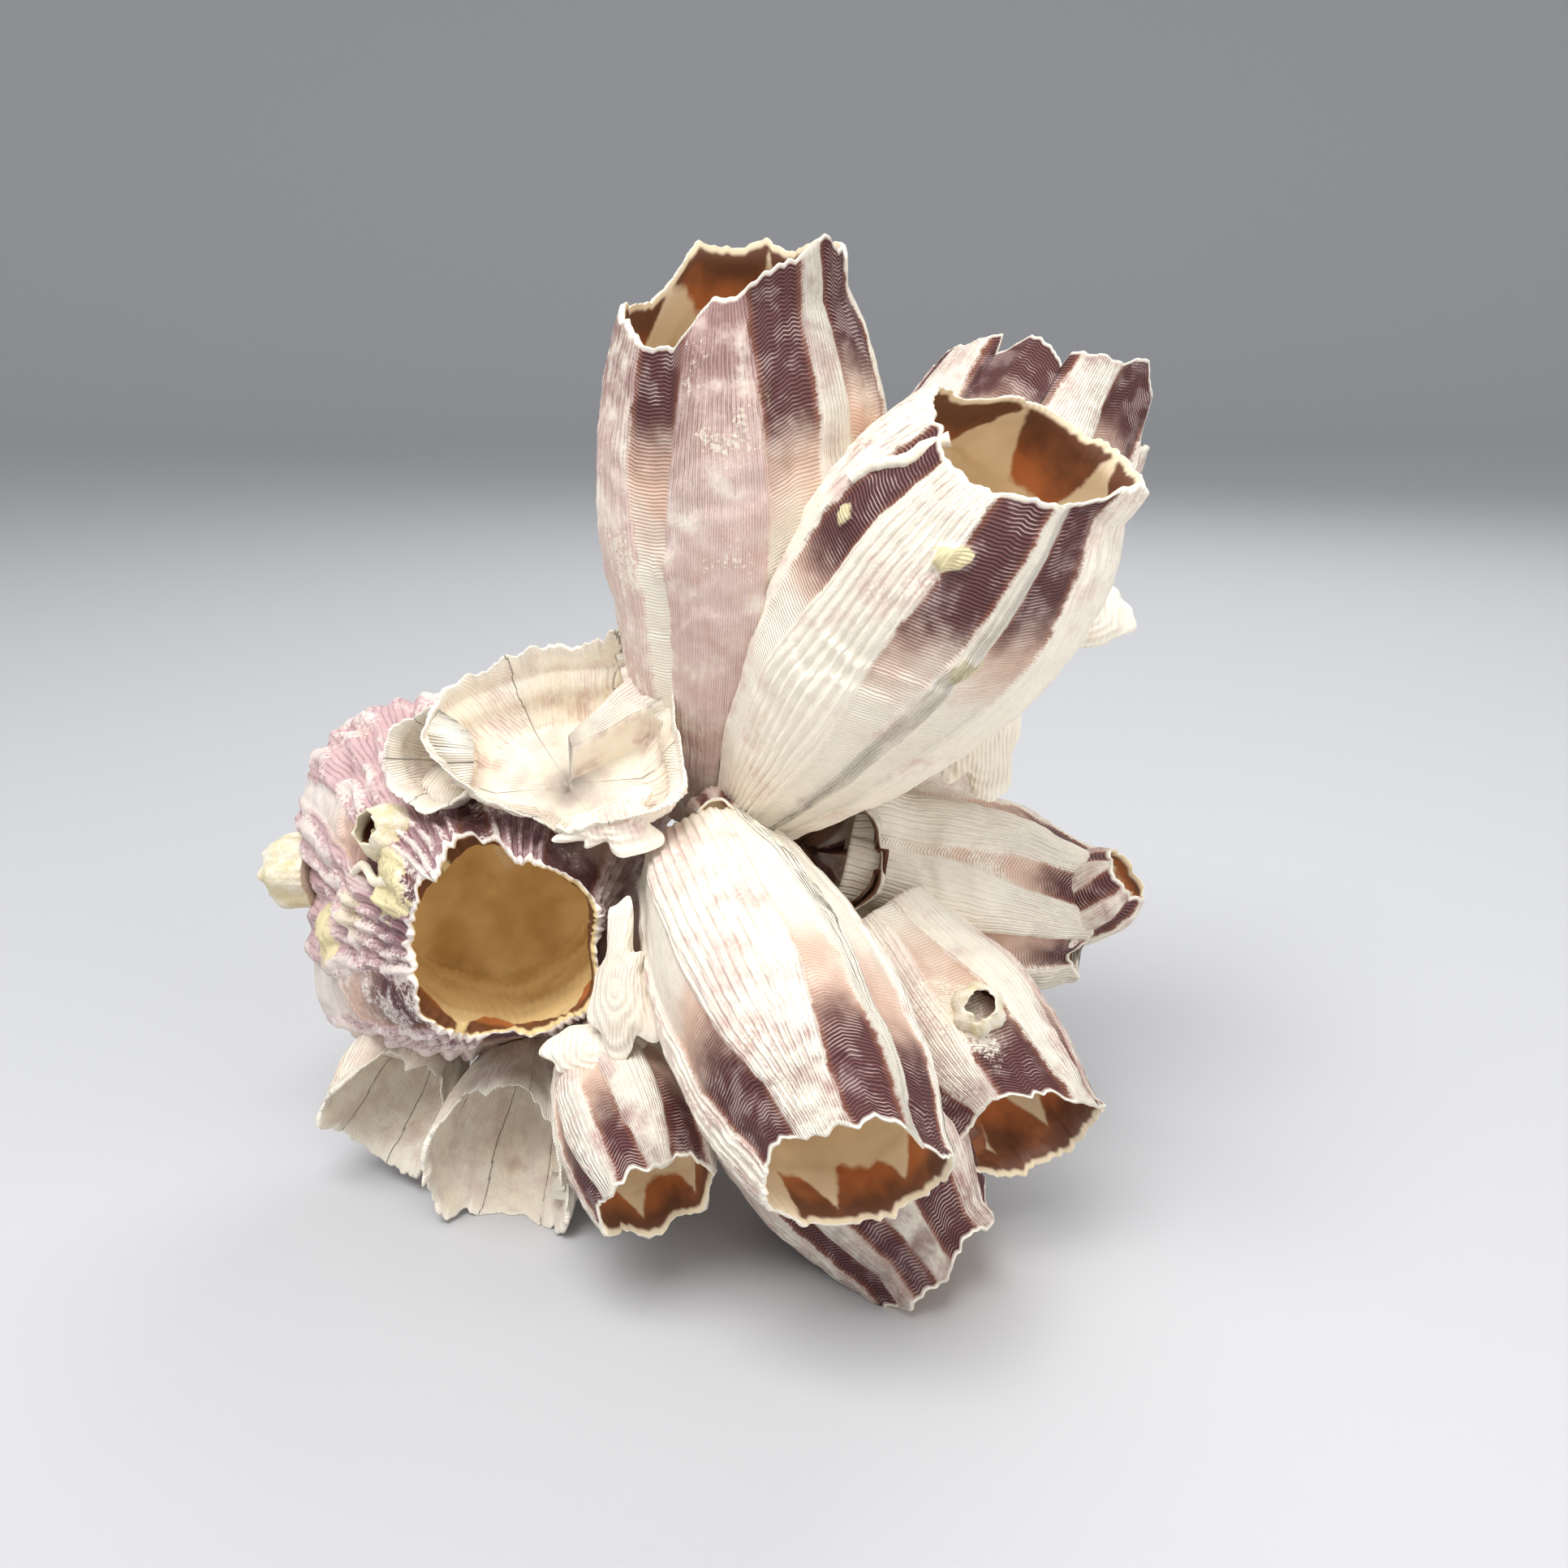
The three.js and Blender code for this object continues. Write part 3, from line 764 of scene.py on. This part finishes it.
growShell(
    "upper_right_barnacle",
    base=(5.5, -1, 54), mouth=(37.2, -20.6, 100), radii=(5, 16.8, 11.6),
    bellyAt=0.72, peaks=0, wall=2, columns=450, rows=100, seed=9, ribs=(8, 0.2), sheath=11.0,
    rim=[
        (288, -2.0), (302, -2.4), (315, -3.1), (335, -3.6), (348, -2.2), (355, -1.5), (5, -0.6),
        (18, 0.2), (30, 1.4), (40, 2.9), (44, 4.0), (55, 5.5), (70, 4.2), (100, 3.0),
        (132, 2.2), (156, 1.1), (183, 0.3), (202, 0.1), (214, -2.4), (222, -3.6), (255, -2.6),
    ],
    steps=[(23, 0.45, 5, 45), (27, 0.4, 340, 30)],
    bumps=[(350, 7.5, 2.0, 0.9, 0.9), (306, 12, 1.6, 0.6, 0.6), (20, 19, 2.4, 0.6, 0.5)],
    plates=[
        (18.5, 8, 3.5, 0.1, 0.2, 15),
        (70, 28, 26, 0.1, 0.3, 9),
        (130, 26, 18, 0.4, 0.5, 10),
        (192, 26, 16, 0.4, 0.5, 8),
        (265, 34, 32, 0.3, 0.6, 17),
        (334, 24, 14, 0.02, 0.4, 17),
    ],
)
growShell(
    "back_resting_barnacle",
    base=(4, 12, 25.5), mouth=(6, 43.7, 9.5), radii=(9, 15, 11),
    bellyAt=0.65, wall=2.6, columns=260, rows=70, seed=10,
)
growShell(
    "back_left_barnacle",
    base=(-24, 24, 40), mouth=(-36, 43.9, 45), radii=(8, 11, 9), crumble=1,
    columns=220, rows=60, seed=11,
)
growShell(
    "back_right_barnacle",
    base=(17, 20, 44), mouth=(33, 42.7, 48), radii=(8, 12, 10), crumble=1,
    columns=220, rows=60, seed=12,
)
growShell(
    "bottom_barnacle",
    base=(4, 3, 31), mouth=(27.5, -18, 4), radii=(7, 15, 9.8),
    bellyAt=0.5, slope=(5, 0), crumble=1, columns=310, rows=88, seed=13,
    plates=[
        (345, 14, 8, 0.5, 1.0, 26),
        (22, 12, 7, 0.4, 1.0, 26),
        (62, 20, 12, 0.4, 0.9, 18),
        (140, 30, 20, 0.3, 0.5, 9),
        (215, 28, 18, 0.3, 0.5, 9),
        (290, 26, 14, 0.5, 0.9, 20),
    ],
)
growShell(
    "lower_right_barnacle",
    base=(22, 2, 38), mouth=(40.8, -14, 17.6), radii=(8, 11.5, 9), peaks=0,
    columns=310, rows=80, seed=14, sheath=12.0, wear=0.54, lump=0.8,
    rim=[
        (355, -5.2), (347, -4.4), (336, -2.6), (321, -2.0), (311, 1.0), (290, 2.5), (250, 3.0),
        (18, -4.5), (51, -3.2), (76, -0.3), (130, 2.7), (170, 4.0), (210, 3.4),
    ],
)
growShell(
    "back_lower_barnacle",
    base=(20, 18, 32), mouth=(40.5, 30, 21), radii=(5, 8.5, 7.5), columns=180, rows=50, seed=15,
)
growShell(
    "front_barnacle",
    base=(0, -6, 50), mouth=(18.3, -43.3, 26.4), radii=(8.5, 13, 9.6), bellyAt=0.5, peaks=0,
    columns=460, rows=100, seed=16, sheath=8.0, ribs=(10, 0.16),
    rim=[
        (4, -1.7), (15, -1.3), (27, -1.9), (39, -1.9), (47, -2.5), (54, -3.7), (66, -3.9),
        (76, -3.7), (100, -3.0), (136, -2.6), (154, -1.6), (173, -1.1), (190, -1.0), (205, 0),
        (216, 1.0), (231, 0.5), (254, 1.3), (290, 2.2), (327, 2.8), (338, 2.6), (348, -0.2),
        (356, -1.0),
    ],
    steps=[(6.8, 0.6, 35, 42), (3.6, 0.35, 340, 30), (11, 0.3, 60, 40)],
    plates=[
        (35.5, 36, 15.5, 0.45, 1.0, 13),
        (125, 20, 40, 0.3, 0.8, 9),
        (185, 22, 12, 0.4, 0.5, 9),
        (235, 26, 11, 0.4, 0.5, 10),
        (288, 22, 12, 0.2, 0.5, 11),
        (341, 10, 3.5, 0.1, 0.3, 12),
    ],
)
growShell(
    "lower_left_fan",
    base=(-24, 6, 20), mouth=(-27, -10, 6.5), radii=(4, 10, 10), bellyAt=0.8, crumble=1.6,
    rim=[(0, -11), (30, -10), (55, -6), (85, -1), (130, 1), (180, 0), (235, 1), (280, -2),
         (310, -7), (335, -10)],
    finish="chalky", slot="chalky_shell", columns=280, rows=66, seed=17, lump=0.9, chips=0.7,
)
growShell(
    "lower_middle_barnacle",
    base=(-13, 6, 20), mouth=(-15, -6, 4), radii=(4, 7, 6),
    finish="chalky", slot="chalky_shell", columns=160, rows=44, seed=18,
)
growShell(
    "lower_left_cup",
    base=(-38, 12, 20), mouth=(-44.5, 0, 9.5), radii=(5, 8.5, 8.3), crumble=1.4,
    rim=[(0, -9), (35, -8), (60, -4), (95, -1), (140, 1), (200, 0), (270, 0), (305, -5),
         (330, -8)],
    finish="chalky", slot="chalky_shell", columns=240, rows=56, seed=19, lump=0.9, chips=0.7,
)
growShell(
    "small_hanging_barnacle",
    base=(-13, -10, 27), mouth=(-4.5, -29, 16.5), radii=(5, 8.5, 7), bellyAt=0.55,
    columns=280, rows=76, seed=20, sheath=7.0,
)
growShell(
    "broken_cup",
    base=(-16, -5, 57.5), mouth=(-16.3, -10.2, 64.4), radii=(8, 16, 17.8),
    bellyAt=0.7, peaks=0, floor=0.24, wall=1.6, chips=0.7, lump=0.7, grooves=(64, 0.18),
    rim=[
        (0, -3.0), (30, -2.0), (65, 0.5), (102, 2.0), (120, 3.0), (140, 5.5), (151, 6.5),
        (160, 4.0), (176, 3.0), (195, 3.6), (212, 3.2), (240, 2.0), (261, 1.0), (277, -1.0),
        (301, -3.5), (330, -4.0),
    ],
    outline=[
        (0, 0.58), (30, 0.72), (65, 0.92), (102, 0.80), (120, 0.86), (140, 0.94), (151, 0.95),
        (160, 0.82), (176, 0.76), (195, 0.77), (212, 0.80), (240, 0.9), (261, 1.0), (277, 0.85),
        (301, 0.56), (330, 0.52),
    ],
    finish="chalky", slot="chalky_shell", columns=420, rows=80, seed=21,
)
growShell(
    "upper_left_cup", **{**youngLook, **dict(
        base=(-29, 2, 60), mouth=(-32.5, -7, 62.5), radii=(3.5, 5.5, 6.5),
        finish="chalky", slot="chalky_shell", columns=180, rows=46, seed=22)})
for node, base, mouth, radii, finish, slot in (
    ("left_edge_barnacle", (-54, 17, 41), (-60.2, 18, 40.5), (5, 5, 3.5), "crust", "crust"),
    ("left_crust_barnacle", (-35, -1, 50), (-40.5, -8, 54.5), (3.5, 3.5, 2.2), "crust", "crust"),
    ("right_rim_barnacle", (47, 11, 36), (55, 8, 43), (4.5, 5.5, 3.8), "banded", "banded_shell"),
    ("scar_barnacle", (33, -14, 32.7), (33.3, -18.2, 35.8), (3.2, 3.2, 2), "crust", "crust"),
    ("junction_barnacle", (1, -1, 54), (2, -10, 56), (3, 3.5, 2.6), "banded", "banded_shell"),
    ("back_young_barnacle", (-2, 35, 64), (-10, 43, 69), (5, 5, 3.2), "crust", "crust"),
):
    growShell(node, **{**youngLook, **dict(base=base, mouth=mouth, radii=radii, finish=finish,
                                           slot=slot, seed=len(grown) + 4)})
growPlate("side_plate", middle=(48, 14, 76.5), across=8.5, along=4.6, turn=(85, 0, 15),
          finish="chalky", slot="chalky_shell", seed=40, waver=0.14)
growPlate("under_plate", middle=(35, 7, 64), across=5.5, along=10.5, turn=(85, 0, 15),
          finish="chalky", slot="chalky_shell", seed=41)
growPlate("front_flange", middle=(-9, -20, 38.5), across=4, along=8, turn=(75, 0, -20),
          finish="chalky", slot="chalky_shell", seed=42, waver=0.5)
growPlate("hanging_flange", middle=(-12.5, -19, 30), across=7, along=4, turn=(60, 0, 0),
          finish="chalky", slot="chalky_shell", seed=43, waver=0.4)
growPlate("folded_flap", middle=(-9.5, -14.5, 57), across=6.5, along=3.2, turn=(55, -12, 12),
          finish="chalky", slot="chalky_shell", seed=44, waver=0.5, pinkness=1.0, inCad=False)
growTube("worm_tube", "upper_right_barnacle",
         [(309, -0.6), (305, 1.5), (307, 3.5), (302, 5.5), (297, 7.5), (296, 10)], 0.75)
growTube("thin_worm_tube", "left_barnacle",
         [(52, 3), (60, 5), (66, 8), (62, 11), (70, 14)], 0.8, 0.6)

# The floor, the light and the camera. The floor is flat under the piece and curves up behind it:
# a straight line, a quarter circle and a straight line again, drawn out sideways.
studio = dict(floorWidth=40.0, floorFront=20.0, curveStart=1.6, curveRadius=1.4, backHeight=9.0,
              floorTint=seen(196, 196, 198), skyStrength=0.66, keyPower=6.8, fillPower=2.4,
              backPower=2.4)
turn = np.linspace(0, math.pi / 2, 24)
depths = np.concatenate([[-studio["floorFront"]],
                         studio["curveStart"] + studio["curveRadius"] * np.sin(turn),
                         [studio["curveStart"] + studio["curveRadius"]]])
heights = np.concatenate([[0], studio["curveRadius"] * (1 - np.cos(turn)), [studio["backHeight"]]])
half = np.full(len(depths), studio["floorWidth"] / 2)
edges = np.stack([np.stack([-half, depths, heights], -1), np.stack([half, depths, heights], -1)])
floor = bpy.data.objects.new("floor", bpy.data.meshes.new("floor"))
first = np.arange(len(depths) - 1)
strips = np.stack([first, first + len(depths), first + len(depths) + 1, first + 1], -1)
floor.data.from_pydata(edges.reshape(-1, 3), [], strips.tolist())
floor.data.polygons.foreach_set("use_smooth", np.full(len(strips), True))
bpy.context.scene.collection.objects.link(floor)
floorMaterial, floorStart = newFinish("floor_finish")
floorShader = floorStart.node("ShaderNodeBsdfPrincipled", {},
                              {"Base Color": studio["floorTint"], "Roughness": 0.7})
floorStart.node("ShaderNodeOutputMaterial", {}, {"Surface": floorShader})
floor.data.materials.append(floorMaterial)

world = bpy.data.worlds.new("studio")
world.use_nodes = True
world.node_tree.nodes["Background"].inputs["Color"].default_value = seen(225, 228, 232)
world.node_tree.nodes["Background"].inputs["Strength"].default_value = studio["skyStrength"]
bpy.context.scene.world = world


# A square area light at a spot, turned so that it shines toward another.
def addLight(name, power, size, spot, toward):
    light = bpy.data.lights.new(name, "AREA")
    light.energy, light.size = power, size
    lamp = bpy.data.objects.new(name, light)
    lamp.location = spot
    lamp.rotation_euler = (Vector(toward) - Vector(spot)).to_track_quat("-Z", "Y").to_euler()
    bpy.context.scene.collection.objects.link(lamp)


middle = (0, 0, 0.06)
addLight("key", studio["keyPower"], 0.5, (-0.15, -0.35, 0.75), middle)
addLight("fill", studio["fillPower"], 0.6, (0.6, -0.5, 0.3), middle)
addLight("back", studio["backPower"], 0.5, (0.2, 0.6, 0.6), middle)

camera = bpy.data.objects.new("camera", bpy.data.cameras.new("camera"))
camera.data.sensor_width = 36
camera.data.lens = 38.2
camera.data.clip_start = 0.005
camera.location = (0.010, -0.200, 0.112)
camera.rotation_euler = (math.radians(90 - 15.2), 0, 0)
bpy.context.scene.collection.objects.link(camera)
bpy.context.scene.camera = camera
bpy.context.scene.view_settings.view_transform = "Standard"
